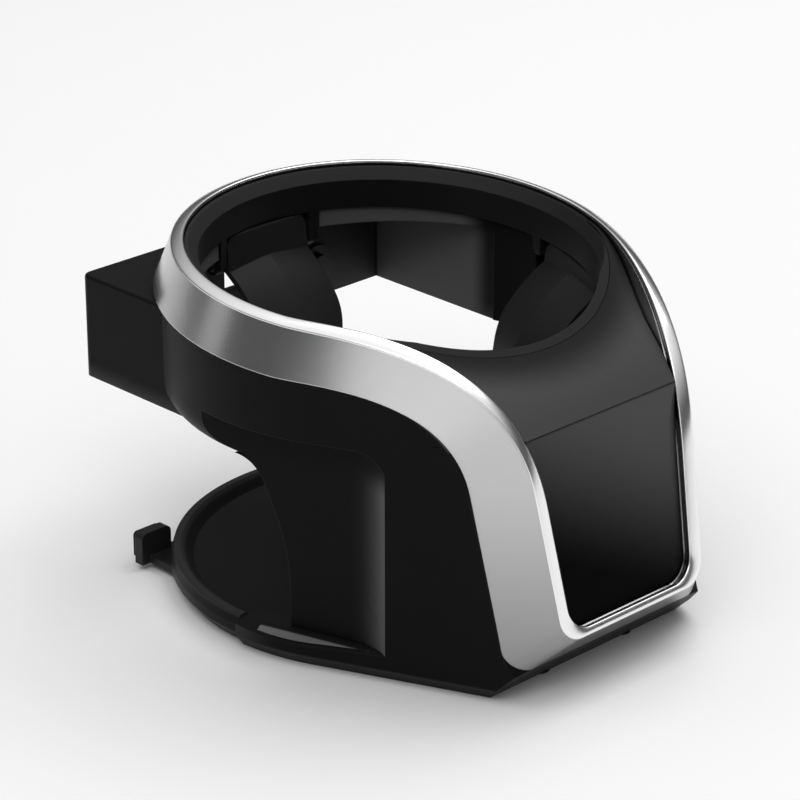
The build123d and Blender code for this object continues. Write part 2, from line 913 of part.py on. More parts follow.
def base_tray():
    low_r = tray_r - seat_z * tan(radians(base_bevel))
    inner_r = tray_r - tray_rim_lean - tray_rim_t
    dish = around(
        [
            (0, 0),
            (low_r, 0),
            (tray_r, seat_z),
            (tray_r, tray_floor_z),
            (tray_r - tray_rim_lean, tray_rim_z),
            (inner_r, tray_rim_z),
            (inner_r - tray_cove, tray_floor_z),
            (0, tray_floor_z),
        ]
    )
    rim = dish.edges().filter_by(GeomType.CIRCLE).group_by(Axis.Z)[-1]
    dish = fillet(rim, tray_rim_round)
    dish &= block((-far, far), (tray_rim_start_y, far), (0, far))
    plate_z = seat_z - seat_gap
    top = Plane(origin=(0, 0, plate_z)) * outline(body_r)
    plate = extrude(top, -plate_z, taper=base_bevel)
    plate &= across(
        polygon(
            (base_slope(0), 0),
            (tray_rim_start_y, 0),
            (tray_rim_start_y, seat_z),
            (base_slope(seat_z), seat_z),
        )
    )
    floor_r = cup_space_r - slide_gap
    floor = Cylinder(floor_r, tray_floor_z, align=(Align.CENTER, Align.CENTER, Align.MIN))
    tray = dish + plate + floor
    hollow_r = recess_r()
    tray -= Cylinder(hollow_r, floor_low_z(), align=(Align.CENTER, Align.CENTER, Align.MIN))
    low_z, high_z = stay_z()
    slot_x = (stay_arm_in() - slide_gap, stay_arm_out + slide_gap)
    slot_z = (low_z - slide_gap, floor_low_z())
    tray -= both_sides(block(slot_x, (0, far), slot_z))
    for x, y in four_spots(cover_screw_spots):
        boss = rod(boss_r, (x, y, cover_t), (x, y, tray_floor_z - tray_floor_t / 2))
        tray += boss
        tray -= rod(screw_r + screw_gap, (x, y, 0), (x, y, floor_low_z() + cover_screw_grip))
    for x, y in four_spots(body_screw_spots):
        tray -= screw_hole(x, y, seat_z)
    return tray


def sunk_head(x, y, gap):
    """Conical head of a cover screw, flush with the cover's underside."""
    return Pos(x, y, cover_t / 2) * Cone(screw_head_r + gap, screw_r + gap, cover_t)


def bottom_cover():
    cover = Pos(0, 0, cover_t / 2) * Cylinder(recess_r() - slide_gap, cover_t)
    for x, y in four_spots(cover_screw_spots):
        cover -= sunk_head(x, y, screw_gap)
    return cover


def cover_screws():
    screws = []
    for x, y in four_spots(cover_screw_spots):
        top = floor_low_z() + cover_screw_grip - fit_gap
        screws.append(sunk_head(x, y, 0) + rod(screw_r, (x, y, cover_t), (x, y, top)))
    return Compound(screws)


def body_screws():
    screws = []
    for x, y in four_spots(body_screw_spots):
        head_top = screw_sink + screw_head_t
        head = rod(screw_head_r, (x, y, screw_sink), (x, y, head_top))
        end = seat_z + body_screw_length - fit_gap
        screws.append(head + rod(screw_r, (x, y, head_top), (x, y, end)))
    return Compound(screws)


def ear_limits():
    """Limits of the right ear of the stay: it stands just behind the tray's rim."""
    low_z = stay_z()[0]
    x = (stay_arm_in() + ear_shift, stay_arm_out + ear_shift)
    front_y = sqrt(tray_r**2 - x[0] ** 2) + ear_gap
    return x, (front_y, front_y + ear_t), (low_z, low_z + ear_height)


def support_stay():
    z = stay_z()
    x, y, ear_z = ear_limits()
    bar_y = bar_limits()
    stay = block((-stay_arm_out, stay_arm_out), bar_y, z)
    ear = block(x, y, ear_z)
    corners = ear.edges().filter_by(Axis.Y).sort_by(Axis.Z)[-2:]
    ear = fillet(corners, ear_corner)
    arm = block((stay_arm_in(), stay_arm_out), (bar_y[1], y[1]), z)
    return stay + both_sides(arm + ear)


def stay_pad():
    """Rubber pad on the right ear's rear face."""
    x, y, z = ear_limits()
    pad = block(
        (x[0] + pad_margin, x[1] - pad_margin),
        (y[1], y[1] + pad_t),
        (z[0] + pad_margin, z[1] - pad_margin),
    )
    corners = pad.edges().filter_by(Axis.Y)
    return fillet(corners, ear_corner - pad_margin)


# Vent clips

def clip_face_y():
    """Rear face of a clip's disc, where its jaws start."""
    return box_rear_y + fit_gap + clip_disc_t


def stub_end_y():
    return box_rear_y - box_wall - fit_gap


def vent_clip():
    """The right clip: a disc on a stub through the rear wall, with two jaws for a louvre."""
    face_y = clip_face_y()
    clip = rod(clip_disc_r, (clip_x, box_rear_y + fit_gap, clip_z), (clip_x, face_y, clip_z))
    clip += rod(clip_stub_r, (clip_x, stub_end_y(), clip_z), (clip_x, face_y, clip_z))
    inner = clip_slot / 2
    outer = inner + clip_jaw_t
    tip_y = face_y + clip_length
    jaw = polygon(
        (face_y, inner),
        (tip_y - clip_flare, inner),
        (tip_y, inner + clip_jaw_t / 2),
        (tip_y, outer - clip_jaw_t / 4),
        (face_y + clip_flare, outer),
        (face_y, outer),
    )
    upper = extrude(Plane.YZ * jaw, clip_half_w, both=True)
    jaws = upper + mirror(upper, Plane.XY)
    clip += Pos(clip_x, 0, clip_z) * jaws
    return clip - rod(screw_r + screw_gap, (clip_x, stub_end_y(), clip_z), (clip_x, face_y, clip_z))


def clip_grip():
    """Rubber lining between the right clip's jaws."""
    face_y = clip_face_y()
    half = clip_slot / 2
    y = (face_y, face_y + clip_length - clip_flare)
    x = (clip_x - clip_half_w, clip_x + clip_half_w)
    lining = block(x, y, (clip_z - half, clip_z + half))
    room = (clip_z - half + grip_t, clip_z + half - grip_t)
    return lining - block(x, (face_y + grip_t, far), room)


def clip_screw():
    """Washer-head screw that holds the right clip, put in from inside the box."""
    seat_y = stub_end_y()
    head_y = seat_y - washer_t
    screw = rod(washer_r, (clip_x, head_y, clip_z), (clip_x, seat_y, clip_z))
    screw += rod(screw_head_r, (clip_x, head_y - screw_head_t, clip_z), (clip_x, head_y, clip_z))
    end_y = clip_face_y() - fit_gap
    return screw + rod(screw_r, (clip_x, seat_y, clip_z), (clip_x, end_y, clip_z))


# All pieces

def pieces():
    """Every node's name and solid."""
    yield "main_body", main_body()
    yield "ring_liner", ring_liner()
    yield "trim_frame", trim_frame()
    yield "front_panel", front_panel()
    for name in flap_angles:
        yield f"cup_flap_{name}", flap(name)
        yield f"flap_pin_{name}", at_flap(flap_pin(), name)
        yield f"flap_spring_{name}", at_flap(flap_spring(), name)
    yield "base_tray", base_tray()
    yield "bottom_cover", bottom_cover()
    yield "cover_screws", cover_screws()
    yield "body_screws", body_screws()
    yield "support_stay", support_stay()
    for kind, shape in (
        ("stay_pad", stay_pad()),
        ("vent_clip", vent_clip()),
        ("clip_grip", clip_grip()),
        ("clip_screw", clip_screw()),
    ):
        yield f"{kind}_right", shape
        yield f"{kind}_left", mirror(shape, Plane.YZ)


if __name__ == "__main__":
    os.makedirs("parts", exist_ok=True)
    for node, solid in pieces():
        export_step(solid, f"parts/{node}.step")
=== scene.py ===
import json
import math

import bpy
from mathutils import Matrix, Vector


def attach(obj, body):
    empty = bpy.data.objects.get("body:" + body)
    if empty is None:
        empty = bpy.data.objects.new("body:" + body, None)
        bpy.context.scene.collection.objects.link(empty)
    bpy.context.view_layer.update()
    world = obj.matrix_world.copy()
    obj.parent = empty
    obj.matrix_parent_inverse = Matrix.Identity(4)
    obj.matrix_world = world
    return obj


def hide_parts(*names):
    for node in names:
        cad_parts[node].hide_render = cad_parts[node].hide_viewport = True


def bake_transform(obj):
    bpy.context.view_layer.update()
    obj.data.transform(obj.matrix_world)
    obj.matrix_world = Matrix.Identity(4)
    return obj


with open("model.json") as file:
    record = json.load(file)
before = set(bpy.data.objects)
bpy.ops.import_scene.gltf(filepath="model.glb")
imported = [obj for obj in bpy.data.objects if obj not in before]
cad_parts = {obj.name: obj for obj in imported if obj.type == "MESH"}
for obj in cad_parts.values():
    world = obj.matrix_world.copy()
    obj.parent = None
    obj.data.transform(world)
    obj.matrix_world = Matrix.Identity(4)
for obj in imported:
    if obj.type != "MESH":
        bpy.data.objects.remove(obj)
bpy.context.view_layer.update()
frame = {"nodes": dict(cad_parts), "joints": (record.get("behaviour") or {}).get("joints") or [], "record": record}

# Looks of a car cup holder: satin black mouldings, a silver trim loop, a gloss front panel and steel pins.
# Metres, in the part's own frame: +Z up, the front faces -Y.

MM = 0.001

# Camera: looks down from the front left
AZIMUTH = -44.26
ELEVATION = 23.3
DISTANCE = 690 * MM
TARGET = Vector((4.0, 4.0, 36.5)) * MM
LENS = 148.0
SENSOR = 36.0
NEAREST = 0.01

# Lamps: name, place, width, height and watts
LAMPS = (
    ("top", (0.5, 0.06, 1.08), 0.9, 0.9, 5.2),
    ("key", (-0.65, -0.5, 1.0), 0.7, 0.5, 2.2),
    ("card", (-1.03, -0.43, 0.2), 0.58, 0.36, 0.72),
    ("side", (-0.92, 0.93, 0.45), 0.35, 0.7, 0.4),
)
LAMP_AIM = Vector((0, 0, 0.04))
FLOOR_HALF = 6.0
SKY_RISE = (0.2, 0.95)

# Colours, as linear red, green and blue
BODY_BLACK = (0.0055, 0.0055, 0.0057)
# Painted light: the six greys below are painted sheen and highlights, and the black after them is painted shade in
# seams and grooves.
SHOULDER_SHEEN_GREY = (0.062, 0.062, 0.063)
TOP_LIGHT_GREY = (0.009, 0.009, 0.0092)
SIDE_SHEEN_GREY = (0.1, 0.1, 0.102)
EDGE_HIGHLIGHT_GREY = (0.03, 0.03, 0.03)
STRIP_HIGHLIGHT_GREY = (0.14, 0.14, 0.142)
RIM_HIGHLIGHT_GREY = (0.026, 0.026, 0.0265)
SEAM_SHADE_BLACK = (0.001, 0.001, 0.001)
LINER_BLACK = (0.011, 0.011, 0.0114)
FLAP_BLACK = (0.018, 0.0175, 0.018)
TRAY_BLACK = (0.0045, 0.0045, 0.0047)
CLIP_BLACK = (0.011, 0.011, 0.0113)
PANEL_DEEP = (0.001, 0.001, 0.001)
# Painted reflection on the upper part of the gloss panel
PANEL_REFLECTION_GREY = (0.052, 0.052, 0.053)
RUBBER_BLACK = (0.01, 0.01, 0.01)
OXIDE_BLACK = (0.03, 0.03, 0.032)
TRIM_SILVER = (0.58, 0.58, 0.588)
LIP_SILVER = (0.9, 0.9, 0.905)
BRIGHT_SILVER = (0.95, 0.95, 0.955)
STEEL = (0.55, 0.55, 0.56)
FLOOR_WHITE = (0.96, 0.96, 0.96)
SKY_LOW = (0.06, 0.06, 0.06)
SKY_HIGH = (0.93, 0.93, 0.93)

# Places that the finishes follow, most of them where painted sheen, highlights, reflection and shade lie. Pairs
# are the start and the end of a fade.
# The gloss panel's painted reflection fades between these heights, slanted across the panel
PANEL_FADE = (19 * MM, 58 * MM)
PANEL_SLANT = 0.5
SHOULDER_Y = -18 * MM
SHOULDER_FADE = 18 * MM
SHOULDER_LOW_Z = 52 * MM
SHOULDER_EDGE = 0.5 * MM
HAIRLINE_PITCH = 0.75 * MM
MOUTH_R = 43 * MM
MOUTH_FADE_R = 52 * MM
MOUTH_REAR_Y = (-20 * MM, 20 * MM)
COVE_TOP_Z = 46 * MM
COVE_FADE = 6 * MM
BOX_WALL_Y = 14 * MM
BOX_BACK_SHARE = 0.6
LEDGE_EDGE = 46.0 * MM
LEDGE_Z = 6.5 * MM
LEDGE_FALL = math.tan(math.radians(25))
STRIP_FADE = (0.2 * MM, 0.4 * MM)
STRIP_EDGE = 0.2 * MM
POST_TURN = math.radians(17)
TRAY_RIM_Z = (6.0 * MM, 6.7 * MM)
# The trim's painted shade fades out from its foot up over these heights
TRIM_SHADE_Z = (4 * MM, 58 * MM)

# Painted shade in seams and grooves: how wide, and the share of open air where the shade is dark and where it is
# clear
BODY_SEAM_SHADE = (1.2 * MM, 0.35, 0.8)
PANEL_SEAM_SHADE = (1.5 * MM, 0.4, 0.85)
TRIM_GROOVE_SHADE = (2.0 * MM, 0.65, 0.95)
LIP_GAP_SHADE = (2.0 * MM, 0.6, 0.92)

# Samples of the softened edges and of the painted shade in grooves
EDGE_SAMPLES = 6
GROOVE_SAMPLES = 8

# Radii of softened edges, and depths of surface texture
MOULD_EDGE = 0.3 * MM
TRIM_EDGE = 0.25 * MM
RUBBER_EDGE = 0.2 * MM
METAL_EDGE = 0.1 * MM
GRAIN_DEPTH = 0.05 * MM
HAIRLINE_DEPTH = 0.05 * MM
SATIN_DEPTH = 0.03 * MM
DUST_DEPTH = 0.06 * MM

# The trim's polished lip follows the frame: ring, legs and bottom bar, in millimetres and degrees
RING_Z = 73.6
RING_TILT = math.radians(4)
RING_R = 44.0
RING_TURN = 106.0
PANEL_Y = -64.45
PANEL_Z = 14.85
PANEL_LEAN = math.radians(11.5)
PANEL_HEIGHT = 39.85
PANEL_FOOT_HALF = 17.5
PANEL_TOP_HALF = 20.6
FRAME_CORNER = 5.0
CORNER_PULL = 2.75
FACET_WIDTH = 2.7
FACET_DROP = 0.8
LEG_FACET = 3.0
LEG_PROUD = 1.9
BAR_FACET = 1.6

# From ring to leg, at the facet's inner edge and at its ridge: pull of the ring, pull of the leg, leg's top
INNER_PULL = (13.0, 33.0, 27.0)
RIDGE_PULL = (12.0, 28.0, 30.0)

# The lip's profile, in millimetres: lift of its inner side, height of its crown, depth of its hidden feet
LIFT_RING = 0.2
LIFT_LEG = 1.5
LIFT_BAR = 1.6
LIP_CROWN = 0.4
LIP_SINK = 0.3

# The crown is round at a power of 1 and squarer below it. The feet stand in by a share of the facet's width.
CROWN_POWER = 0.7
LIP_INSET_SHARE = 0.04

# Number of steps along each stretch of the lip, and across it
RING_STEPS = 64
TURN_STEPS = 40
LEG_STEPS = 10
CORNER_STEPS = 14
BAR_STEPS = 6
LIP_STEPS = 10


# Shader arithmetic

class Value:
    """A shader socket that takes part in Python arithmetic."""

    def __init__(self, tree, socket):
        self.tree = tree
        self.socket = socket

    def math(self, operation, first, second=0.0):
        return self.tree.node("ShaderNodeMath", {"operation": operation}, {0: first, 1: second})

    def __add__(self, other):
        return self.math("ADD", self, other)

    def __radd__(self, other):
        return self.math("ADD", other, self)

    def __sub__(self, other):
        return self.math("SUBTRACT", self, other)

    def __rsub__(self, other):
        return self.math("SUBTRACT", other, self)

    def __mul__(self, other):
        return self.math("MULTIPLY", self, other)

    def __rmul__(self, other):
        return self.math("MULTIPLY", other, self)

    def __neg__(self):
        return self.math("SUBTRACT", 0.0, self)

    def __abs__(self):
        return self.math("ABSOLUTE", self)

    def wave(self):
        return self.math("SINE", self)

    def step(self, low, high):
        """0 below low, 1 above high and smooth between."""
        settings = {"interpolation_type": "SMOOTHSTEP"}
        return self.tree.node("ShaderNodeMapRange", settings, {0: self, 1: low, 2: high})


class Tree:
    """A node tree that takes nodes one by one."""

    def __init__(self, node_tree):
        self.nodes = node_tree.nodes
        self.links = node_tree.links

    def node(self, kind, settings=None, sockets=None, output=0):
        """Adds a node, applies its settings, fills its sockets and gives back one output."""
        made = self.nodes.new(kind)
        for key, value in (settings or {}).items():
            setattr(made, key, value)
        for key, value in (sockets or {}).items():
            self.fill(made.inputs[key], value)
        return Value(self, made.outputs[output])

    def fill(self, socket, value):
        if isinstance(value, Value):
            self.links.new(value.socket, socket)
        elif socket.type == "RGBA":
            socket.default_value = (*value, 1.0)
        else:
            socket.default_value = value

    def axes(self, vector):
        """The three parts of a vector."""
        parts = self.node("ShaderNodeSeparateXYZ", None, {"Vector": vector}).socket.node.outputs
        return [Value(self, part) for part in parts]

    def tint(self, factor, low, high):
        """A colour between two colours."""
        return self.node("ShaderNodeMix", {"data_type": "RGBA"}, {0: factor, 6: low, 7: high}, 2)


class Finish(Tree):
    """One material: its nodes and its main shader."""

    def __init__(self, name, **constants):
        self.material = bpy.data.materials.new(name)
        self.material.use_nodes = True
        super().__init__(self.material.node_tree)
        self.shader = self.nodes["Principled BSDF"]
        self.place = self.node("ShaderNodeTexCoord", output="Object")
        self.facing = self.node("ShaderNodeNewGeometry", output="Normal")
        self.set(**constants)

    def set(self, **sockets):
        """Fills the main shader's sockets, named with underscores."""
        for key, value in sockets.items():
            self.fill(self.shader.inputs[key.replace("_", " ")], value)

    def noise(self, scale, detail):
        """Noise with features about 1 / scale metres across."""
        sockets = {"Vector": self.place, "Scale": scale, "Detail": detail}
        return self.node("ShaderNodeTexNoise", None, sockets, "Fac")

    def soft_edges(self, radius):
        """Normals rounded over sharp edges."""
        return self.node("ShaderNodeBevel", {"samples": EDGE_SAMPLES}, {"Radius": radius})

    def edges(self, rounded):
        """1 along sharp edges, where the rounded normal leaves the true one: the mask for painted edge highlights.
        """
        sockets = {0: rounded, 1: self.facing}
        same = self.node("ShaderNodeVectorMath", {"operation": "DOT_PRODUCT"}, sockets, "Value")
        return (1 - same).step(0.02, 0.25)

    def grooves(self, reach, dark, clear):
        """1 in grooves and seams narrower than the reach, 0 in the open: the mask for painted shade."""
        settings = {"samples": GROOVE_SAMPLES}
        open_air = self.node("ShaderNodeAmbientOcclusion", settings, {"Distance": reach}, "AO")
        return 1 - open_air.step(dark, clear)

    def relief(self, height, strength, depth, under):
        """A bumped normal over another normal."""
        sockets = {"Height": height, "Strength": strength, "Distance": depth, "Normal": under}
        return self.node("ShaderNodeBump", None, sockets)


def shade(colour, factor):
    return tuple(channel * factor for channel in colour)


# Finishes

def moulded_black(name, colour, roughness=0.42, grain=0.12, gloss=0.09):
    """Satin black plastic with a fine spark-eroded grain and painted highlights along its sharp edges."""
    finish = Finish(name, IOR=1.48, Specular_IOR_Level=gloss, Sheen_Weight=0.02, Sheen_Roughness=0.45)
    cloud = finish.noise(scale=60.0, detail=3.0)
    sparkle = finish.noise(scale=4200.0, detail=1.0)
    rounded = finish.soft_edges(MOULD_EDGE)
    finish.colour = finish.tint(cloud, shade(colour, 0.85), shade(colour, 1.2))
    # Painted highlights along sharp edges
    finish.colour = finish.tint(finish.edges(rounded), finish.colour, EDGE_HIGHLIGHT_GREY)
    finish.grained = finish.relief(sparkle, grain, GRAIN_DEPTH, rounded)
    finish.set(
        Base_Color=finish.colour,
        Roughness=roughness - 0.05 + 0.1 * cloud,
        Normal=finish.grained,
    )
    return finish


def shell_black():
    """The body's plastic: painted light on upward faces and on the box's inner wall, painted sheen on the shoulder
    and along the post recess's front edge, a painted highlight on the ledge at the post's foot, painted shade in
    seams, and fine hairlines that run down the shoulder.
    """
    finish = moulded_black("body_black", BODY_BLACK, gloss=0.05)
    x, y, z = finish.axes(finish.place)
    across, ahead, up = finish.axes(finish.facing)
    # Painted sheen on the shoulder's upward faces, fading out towards the mouth
    shoulder = (SHOULDER_Y - y).step(0.0, SHOULDER_FADE) * (z - SHOULDER_LOW_Z).step(0.0, SHOULDER_EDGE)
    past_mouth = (x * x + y * y).step(MOUTH_R * MOUTH_R, MOUTH_FADE_R * MOUTH_FADE_R)
    shoulder = shoulder * up.step(0.3, 0.45) * past_mouth
    # Painted light on upward faces
    top = up.step(0.6, 0.95)
    # Painted sheen along the post recess's front edge
    cove_sheen = ahead.step(-0.3, 0.3) * abs(across).step(0.8, 0.95) * (COVE_TOP_Z - z).step(0.0, COVE_FADE)
    # Painted highlight on the sloped ledge at the post's foot
    outward = abs(x) * math.cos(POST_TURN) - y * math.sin(POST_TURN)
    proud = z + (outward - LEDGE_EDGE) * LEDGE_FALL - LEDGE_Z
    strip_highlight = proud.step(*STRIP_FADE) * (LEDGE_Z - z).step(0.0, STRIP_EDGE) * up.step(0.5, 0.7)
    # Painted light on the box's inner wall
    inward = BOX_BACK_SHARE * (-ahead).step(0.8, 0.95) + (-(across * x)).step(0.0, COVE_FADE)
    inner_wall_light = inward * y.step(BOX_WALL_Y, BOX_WALL_Y + COVE_FADE)
    hairline = (x * (2 * math.pi / HAIRLINE_PITCH)).wave() * shoulder
    finish.colour = finish.tint(top, finish.colour, TOP_LIGHT_GREY)
    finish.colour = finish.tint(cove_sheen, finish.colour, SIDE_SHEEN_GREY)
    finish.colour = finish.tint(shoulder, finish.colour, SHOULDER_SHEEN_GREY)
    finish.colour = finish.tint(strip_highlight, finish.colour, STRIP_HIGHLIGHT_GREY)
    finish.colour = finish.tint(inner_wall_light, finish.colour, SIDE_SHEEN_GREY)
    # Painted shade in seams
    finish.set(
        Base_Color=finish.tint(finish.grooves(*BODY_SEAM_SHADE), finish.colour, SEAM_SHADE_BLACK),
        Normal=finish.relief(hairline, 0.35, HAIRLINE_DEPTH, finish.grained),
    )
    return finish


def dish_black():
    """The tray's plastic, with a painted highlight along the upper edge of its dish."""
    finish = moulded_black("tray_black", TRAY_BLACK, roughness=0.4)
    # Painted highlight along the upper edge of the dish
    rim_highlight = finish.axes(finish.place)[2].step(*TRAY_RIM_Z)
    finish.set(Base_Color=finish.tint(rim_highlight, finish.colour, RIM_HIGHLIGHT_GREY))
    return finish


def sleeve_black():
    """The liner's plastic, with a painted highlight on its upward faces round the rear of the mouth."""
    finish = moulded_black("liner_black", LINER_BLACK, roughness=0.36, grain=0.05, gloss=0.05)
    # Painted highlight on the upward faces round the rear of the mouth
    rear = finish.axes(finish.place)[1].step(*MOUTH_REAR_Y)
    bevel_highlight = finish.axes(finish.facing)[2].step(0.4, 0.6) * rear
    finish.set(Base_Color=finish.tint(bevel_highlight, finish.colour, RIM_HIGHLIGHT_GREY))
    return finish


def silver_trim():
    """Satin plating with painted shade that darkens it towards its foot, smoother on its inner facet, and painted
    shade in grooves.
    """
    finish = Finish("trim_silver", Metallic=1.0)
    across, ahead, up = finish.axes(finish.facing)
    facet = (up - 1.2 * ahead - abs(across)).step(0.3, 0.42)
    cloud = finish.noise(scale=45.0, detail=2.0)
    satin = finish.noise(scale=6000.0, detail=1.0)
    # Painted shade, darker towards the trim's foot
    rise = finish.axes(finish.place)[2].step(*TRIM_SHADE_Z)
    foot_shaded_silver = finish.tint(rise, shade(TRIM_SILVER, 0.5), TRIM_SILVER)
    plating = finish.tint(facet, foot_shaded_silver, LIP_SILVER)
    # Painted shade in grooves
    finish.set(
        Base_Color=finish.tint(0.95 * finish.grooves(*TRIM_GROOVE_SHADE), plating, shade(TRIM_SILVER, 0.06)),
        Roughness=0.21 + 0.05 * cloud - 0.08 * facet,
        Normal=finish.relief(satin, 0.03, SATIN_DEPTH, finish.soft_edges(TRIM_EDGE)),
    )
    return finish


def piano_black():
    """Deep gloss moulding with a painted reflection that fades from its top towards its foot, where its clear coat
    thins out, and painted shade along its seams.
    """
    finish = Finish("panel_black", Specular_IOR_Level=0.02, Roughness=0.3, Coat_Roughness=0.06)
    x, _, z = finish.axes(finish.place)
    # Painted reflection, fading from the top of the panel
    rise = (z + PANEL_SLANT * x).step(*PANEL_FADE)
    reflection_tone = finish.tint(rise, PANEL_DEEP, PANEL_REFLECTION_GREY)
    # Painted shade along the panel's seams
    finish.set(
        Base_Color=finish.tint(finish.grooves(*PANEL_SEAM_SHADE), reflection_tone, SEAM_SHADE_BLACK),
        Coat_Weight=0.5 * rise,
        Normal=finish.soft_edges(MOULD_EDGE),
    )
    return finish


def bright_lip():
    """Polished plating, with painted shade down in the gap beside the panel."""
    finish = Finish("bright_lip", Metallic=1.0)
    cloud = finish.noise(scale=150.0, detail=2.0)
    plating = finish.tint(cloud, shade(BRIGHT_SILVER, 0.96), BRIGHT_SILVER)
    # Painted shade in the gap beside the panel
    finish.set(
        Base_Color=finish.tint(finish.grooves(*LIP_GAP_SHADE), plating, shade(BRIGHT_SILVER, 0.03)),
        Roughness=0.2 + 0.06 * cloud,
    )
    return finish


def soft_rubber():
    """Dull rubber with a dusty surface."""
    finish = Finish("grip_rubber", IOR=1.5, Specular_IOR_Level=0.25)
    cloud = finish.noise(scale=200.0, detail=3.0)
    dust = finish.noise(scale=2500.0, detail=2.0)
    finish.set(
        Base_Color=finish.tint(cloud, shade(RUBBER_BLACK, 0.8), shade(RUBBER_BLACK, 1.3)),
        Roughness=0.75 + 0.1 * cloud,
        Normal=finish.relief(dust, 0.3, DUST_DEPTH, finish.soft_edges(RUBBER_EDGE)),
    )
    return finish


def plain_metal(name, colour, spread, roughness):
    """Drawn or blackened metal with a slightly uneven sheen."""
    finish = Finish(name, Metallic=1.0)
    cloud = finish.noise(scale=800.0, detail=3.0)
    finish.set(
        Base_Color=finish.tint(cloud, shade(colour, 1 - spread), shade(colour, 1 + spread)),
        Roughness=roughness + 0.13 * cloud,
        Normal=finish.soft_edges(METAL_EDGE),
    )
    return finish


FINISHES = {
    "body_black": shell_black(),
    "liner_black": sleeve_black(),
    "flap_black": moulded_black("flap_black", FLAP_BLACK, roughness=0.38, grain=0.06),
    "tray_black": dish_black(),
    "cover_black": moulded_black("cover_black", TRAY_BLACK, roughness=0.55, grain=0.2),
    "stay_black": moulded_black("stay_black", CLIP_BLACK, roughness=0.4, gloss=0.2),
    "clip_black": moulded_black("clip_black", CLIP_BLACK, roughness=0.4, gloss=0.2),
    "trim_silver": silver_trim(),
    "panel_black": piano_black(),
    "grip_rubber": soft_rubber(),
    "pin_steel": plain_metal("pin_steel", STEEL, spread=0.15, roughness=0.25),
    "screw_black": plain_metal("screw_black", OXIDE_BLACK, spread=0.4, roughness=0.38),
}


def placed(name, content):
    """A new object in the scene."""
    made = bpy.data.objects.new(name, content)
    bpy.context.scene.collection.objects.link(made)
    return made


def dress(mesh, finish):
    """Gives a mesh one finish and smooth faces."""
    mesh.materials.clear()
    mesh.materials.append(finish.material)
    mesh.polygons.foreach_set("use_smooth", [True] * len(mesh.polygons))


def dress_solids():
    """Gives every solid the finish of its slot."""
    for entry in frame["record"]["subparts"]:
        dress(frame["nodes"][entry["node"]].data, FINISHES[entry["material_slot"]])


def wind_springs():
    """Each flap's spring: a copy of its mesh stands in for the part, with its place baked in."""
    for joint in frame["joints"]:
        for bent in joint.get("deforming_nodes") or []:
            source = frame["nodes"][bent["node"]]
            spring = placed("wound_" + bent["node"], source.data.copy())
            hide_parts(bent["node"])
            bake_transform(spring)


# Polished lip along the trim's inner edge

def ring_spot(radius, height, angle):
    """Point in the tilted ring's frame, at an angle from the rear towards +X."""
    turn = math.radians(angle)
    back = radius * math.cos(turn)
    y = back * math.cos(RING_TILT) - height * math.sin(RING_TILT)
    z = back * math.sin(RING_TILT) + height * math.cos(RING_TILT)
    return Vector((radius * math.sin(turn), y, RING_Z + z))


def panel_spot(x, up, proud):
    """Point on the panel's face, or in front of it."""
    y = PANEL_Y + up * math.sin(PANEL_LEAN) - proud * math.cos(PANEL_LEAN)
    return Vector((x, y, PANEL_Z + up * math.cos(PANEL_LEAN) + proud * math.sin(PANEL_LEAN)))


def panel_half(up):
    """Half the panel's width at a height along its face."""
    return PANEL_FOOT_HALF + (PANEL_TOP_HALF - PANEL_FOOT_HALF) * up / PANEL_HEIGHT


def steps(count):
    """Shares from 0 up to, but without, 1."""
    return [number / count for number in range(count)]


def bend(start, first, second, end, share):
    """Point on a cubic curve."""
    rest = 1 - share
    return (
        start * rest**3
        + first * (3 * rest**2 * share)
        + second * (3 * rest * share**2)
        + end * share**3
    )


def lip_rail(share):
    """One edge of the facet on the +X side, 0 at the inner edge and 1 at the ridge, from rear to bar."""
    ring_pull, leg_pull, top_up = [low + (high - low) * share for low, high in zip(INNER_PULL, RIDGE_PULL)]
    radius = RING_R + FACET_WIDTH * share
    height = -FACET_DROP * share
    side = LEG_FACET * share
    proud = LEG_PROUD * share
    drop = BAR_FACET * share
    foot_up = FRAME_CORNER - drop
    turn = ring_spot(radius, height, RING_TURN)
    ahead = ring_spot(1, 0, RING_TURN + 90) - ring_spot(0, 0, 0)
    top = panel_spot(panel_half(top_up) + side, top_up, proud)
    foot = panel_spot(panel_half(foot_up) + side, foot_up, proud)
    end = panel_spot(panel_half(-drop) + side - FRAME_CORNER, -drop, proud)
    middle = panel_spot(0, -drop, proud)
    down = (foot - top).normalized()
    ring_end = turn + ahead * ring_pull
    leg_start = top - down * leg_pull
    leg_end = foot + down * CORNER_PULL
    bar_start = end + Vector((CORNER_PULL, 0, 0))
    line = [ring_spot(radius, height, RING_TURN * part) for part in steps(RING_STEPS)]
    line += [bend(turn, ring_end, leg_start, top, part) for part in steps(TURN_STEPS)]
    line += [top.lerp(foot, part) for part in steps(LEG_STEPS)]
    line += [bend(foot, leg_end, bar_start, end, part) for part in steps(CORNER_STEPS)]
    line += [end.lerp(middle, part) for part in steps(BAR_STEPS)]
    return line + [middle]


def lip_stretch():
    """For each point of a rail: how far it has turned to face the front, and the inner side's lift."""
    ring = [(0.0, LIFT_RING)] * RING_STEPS
    turn = [(part, LIFT_RING + (LIFT_LEG - LIFT_RING) * part) for part in steps(TURN_STEPS)]
    leg = [(1.0, LIFT_LEG)] * LEG_STEPS
    corner = [(1.0, LIFT_LEG + (LIFT_BAR - LIFT_LEG) * part) for part in steps(CORNER_STEPS)]
    bar = [(1.0, LIFT_BAR)] * (BAR_STEPS + 1)
    return ring + turn + leg + corner + bar


